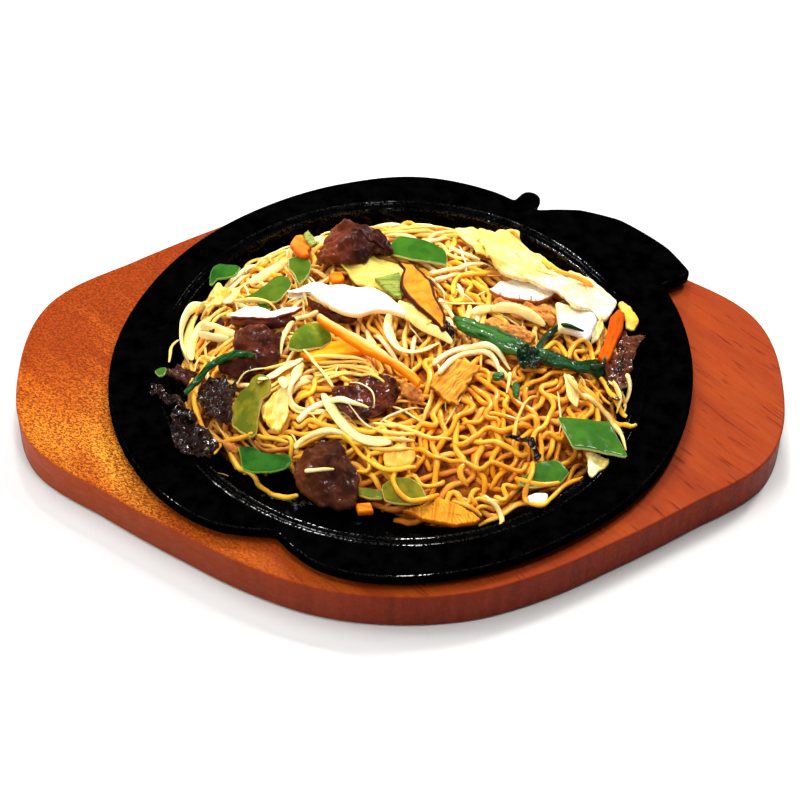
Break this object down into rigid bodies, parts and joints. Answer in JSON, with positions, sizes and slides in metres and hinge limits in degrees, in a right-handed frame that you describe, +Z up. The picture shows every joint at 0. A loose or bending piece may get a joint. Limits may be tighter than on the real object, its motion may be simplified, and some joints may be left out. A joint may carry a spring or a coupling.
{
  "type": "yakisoba on an iron plate",
  "caption": "Fried noodles with mushrooms, peppers, carrot and cabbage, heaped in an apple-shaped iron hot plate that sits in its wooden board.",
  "frame": {"origin": "centre of the wooden board's flat underside", "axes": "+X along the board's length, +Y across it towards the plate's stem, +Z up"},
  "size_m": [0.3399, 0.2565, 0.0565],
  "materials": {
    "board": "oiled hardwood, reddish brown with long dark pores",
    "iron": "seasoned black cast iron with a sheen of oil",
    "noodle": "glossy wheat noodles fried in brown sauce, with pale bean sprouts",
    "pepper": "green sweet pepper, shiny skin and pale cut edge",
    "cap": "brown mushroom cap, moist",
    "slice": "sliced mushroom flesh, white to amber, with a brown rim",
    "ear": "wood ear mushroom, dark, wrinkled and wet",
    "carrot": "cooked carrot",
    "cabbage": "cooked white cabbage and onion, translucent at the edges",
    "green": "dark green stalk and leaf, wet",
    "meat": "shreds of browned pork"
  },
  "bodies": {
    "root": {"board": "board", "iron_plate": "iron", "noodle_heap": "noodle", "pepper_left": "pepper", "pepper_back_left": "pepper", "pepper_leaf_left": "pepper", "pepper_dome": "pepper", "pepper_back": "pepper", "pepper_curved": "pepper", "pepper_front_left": "pepper", "pepper_right": "pepper", "pepper_front_right": "pepper", "pepper_ring": "pepper", "pepper_strip": "pepper", "cap_brown": "cap", "cap_front": "cap", "cap_back": "cap", "ear_center": "cap", "slice_white_small": "slice", "slice_white": "slice", "slice_orange": "slice", "slice_gills": "slice", "slice_front": "slice", "gill_fan": "slice", "ear_left": "ear", "ear_tail": "ear", "ear_sparkle": "ear", "ear_right": "ear", "shred_dark": "ear", "carrot_long": "carrot", "carrot_wedge": "carrot", "carrot_right": "carrot", "carrot_back": "carrot", "carrot_bit": "carrot", "cabbage_back": "cabbage", "cabbage_leaf": "cabbage", "cabbage_rib": "cabbage", "cabbage_chunk": "cabbage", "cabbage_right": "cabbage", "onion_gold": "cabbage", "onion_right": "cabbage", "white_bit": "cabbage", "stalk": "green", "stalk_leaf": "green", "strip_green": "green", "meat_left": "meat", "meat_edge": "meat", "meat_back": "meat", "meat_orange": "meat", "meat_mid": "meat"}
  },
  "joints": []
}
